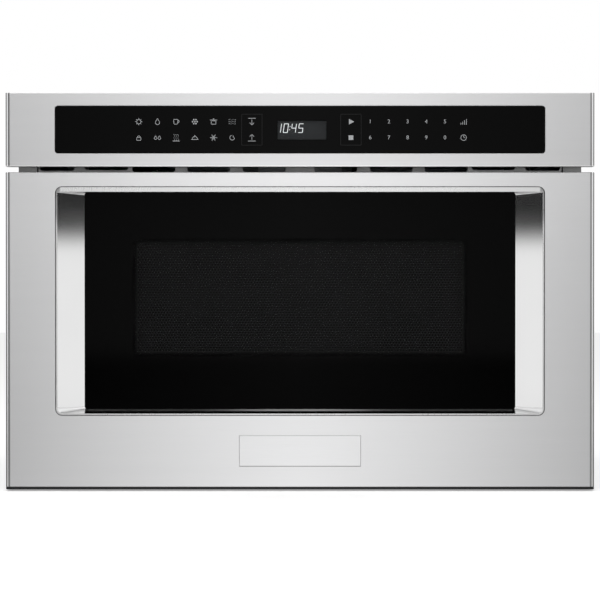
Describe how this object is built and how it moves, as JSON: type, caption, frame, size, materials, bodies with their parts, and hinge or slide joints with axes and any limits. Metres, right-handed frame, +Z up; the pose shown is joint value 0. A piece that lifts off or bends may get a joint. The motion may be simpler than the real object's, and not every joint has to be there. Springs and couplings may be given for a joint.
{
  "type": "built-in microwave drawer",
  "caption": "Built-in microwave oven whose stainless front pulls out on slides with its food basket, under a fixed control panel with a black glass strip.",
  "frame": {"origin": "under the middle of the overall box, on the surface that the feet stand on", "axes": "+Z up, the front faces -Y and the drawer opens towards -Y, +X to the right of a person facing the front"},
  "size_m": [0.606, 0.625, 0.41],
  "materials": {
    "brushed_stainless": "horizontally brushed stainless sheet",
    "polished_stainless": "polished stainless surround",
    "badge_metal": "fine satin plate",
    "door_glass": "black printed tinted glass",
    "panel_glass": "black printed glass with touch keys",
    "inner_pane": "clear pane",
    "screen_steel": "dark perforated screening sheet",
    "door_steel": "grey enamelled sheet",
    "dark_plastic": "moulded black plastic",
    "casing_steel": "zinc-coated sheet",
    "flange_steel": "zinc-coated sheet",
    "cavity_enamel": "light grey enamel",
    "mica_plate": "microwave-clear plate",
    "plated_steel": "bright zinc plate",
    "gear_steel": "machined steel",
    "gear_plastic": "natural acetal",
    "basket_plastic": "heat-resistant grey plastic",
    "tray_ceramic": "smooth glass-ceramic tray",
    "duct_aluminium": "folded aluminised sheet",
    "magnetron_metal": "yoke, fins and filter box",
    "core_iron": "laminated core with wound coils",
    "can_aluminium": "drawn can",
    "board_resin": "circuit board and its parts",
    "display_plastic": "display tube behind the glass",
    "fan_plastic": "pale moulded plastic",
    "motor_metal": "motor and gearbox cases",
    "lamp_glass": "bulb in its holder",
    "cutout_resin": "snap discs",
    "foot_rubber": "rubber feet",
    "screw_zinc": "zinc-plated pan heads"
  },
  "bodies": {
    "housing": {"base_plate": "casing_steel", "cavity_ceiling": "cavity_enamel", "cavity_floor": "cavity_enamel", "cavity_front_plate": "flange_steel", "cavity_lamp": "lamp_glass", "cavity_walls": "cavity_enamel", "control_board": "board_resin", "control_cover": "plated_steel", "control_fascia": "brushed_stainless", "control_glass": "panel_glass", "control_housing": "dark_plastic", "cord_gland": "dark_plastic", "display_module": "display_plastic", "drive_motor": "motor_metal", "exhaust_duct": "casing_steel", "fan_motor": "motor_metal", "fan_shroud": "fan_plastic", "feet": "foot_rubber", "high_voltage_capacitor": "can_aluminium", "housing_screws": "screw_zinc", "interlock_switches": "dark_plastic", "magnetron": "magnetron_metal", "mounting_flanges": "flange_steel", "noise_filter_board": "board_resin", "power_transformer": "core_iron", "rear_panel": "casing_steel", "shaft_bearings": "gear_plastic", "side_panel_left": "casing_steel", "side_panel_right": "casing_steel", "slide_brackets": "casing_steel", "slide_outer_members": "plated_steel", "stirrer_cover": "mica_plate", "stirrer_motor": "motor_metal", "thermal_cutouts": "cutout_resin", "top_cover": "casing_steel", "vent_grille": "flange_steel", "waveguide": "duct_aluminium"},
    "drawer": {"drawer_skin": "brushed_stainless", "lower_trim": "dark_plastic", "recess_frame": "polished_stainless", "door_glass": "door_glass", "window_screen": "screen_steel", "door_frame": "door_steel", "choke_cover": "dark_plastic", "inner_glass": "inner_pane", "badge_plate": "badge_metal", "basket_walls": "basket_plastic", "glass_tray": "tray_ceramic", "slide_inner_members": "plated_steel", "sled_rails": "plated_steel", "racks": "gear_plastic", "latch_hooks": "gear_plastic", "drawer_screws": "screw_zinc"},
    "slide_middles": {"slide_middle_members": "plated_steel"},
    "outer_cages": {"outer_ball_cages": "plated_steel"},
    "inner_cages": {"inner_ball_cages": "plated_steel"},
    "cross_shaft": {"drive_shaft": "gear_steel"},
    "motor_pinion": {"motor_gear": "gear_plastic"},
    "fan": {"fan_blade": "fan_plastic"},
    "stirrer": {"stirrer_blade": "duct_aluminium"}
  },
  "joints": [
    {"name": "drawer_slide", "type": "slide", "parent": "housing", "child": "drawer", "axis": [0, -1, 0], "range_m": [0, 0.381]},
    {"name": "slide_middle_travel", "type": "slide", "parent": "housing", "child": "slide_middles", "axis": [0, -1, 0], "range_m": [0, 0.1905]},
    {"name": "outer_cage_travel", "type": "slide", "parent": "housing", "child": "outer_cages", "axis": [0, -1, 0], "range_m": [0, 0.09525]},
    {"name": "inner_cage_travel", "type": "slide", "parent": "housing", "child": "inner_cages", "axis": [0, -1, 0], "range_m": [0, 0.28575]},
    {"name": "cross_shaft_turn", "type": "hinge", "parent": "housing", "child": "cross_shaft", "pos_m": [0, -0.248, 0.03688], "axis": [1, 0, 0], "range_deg": [0, 1819.64]},
    {"name": "motor_pinion_turn", "type": "hinge", "parent": "housing", "child": "motor_pinion", "pos_m": [0, -0.21788, 0.03688], "axis": [1, 0, 0], "range_deg": [-3639.28, 0]},
    {"name": "fan_spin", "type": "hinge", "parent": "housing", "child": "fan", "pos_m": [-0.15, 0.289, 0.18], "axis": [0, 1, 0], "continuous": true},
    {"name": "stirrer_spin", "type": "hinge", "parent": "housing", "child": "stirrer", "pos_m": [0, 0, 0.31], "axis": [0, 0, 1], "continuous": true}
  ],
  "couplings": [
    {"joint": "slide_middle_travel", "follows": "drawer_slide", "ratio": 0.5},
    {"joint": "outer_cage_travel", "follows": "drawer_slide", "ratio": 0.25},
    {"joint": "inner_cage_travel", "follows": "drawer_slide", "ratio": 0.75},
    {"joint": "cross_shaft_turn", "follows": "drawer_slide", "rad_per_m": 83.333},
    {"joint": "motor_pinion_turn", "follows": "drawer_slide", "rad_per_m": -166.67}
  ]
}
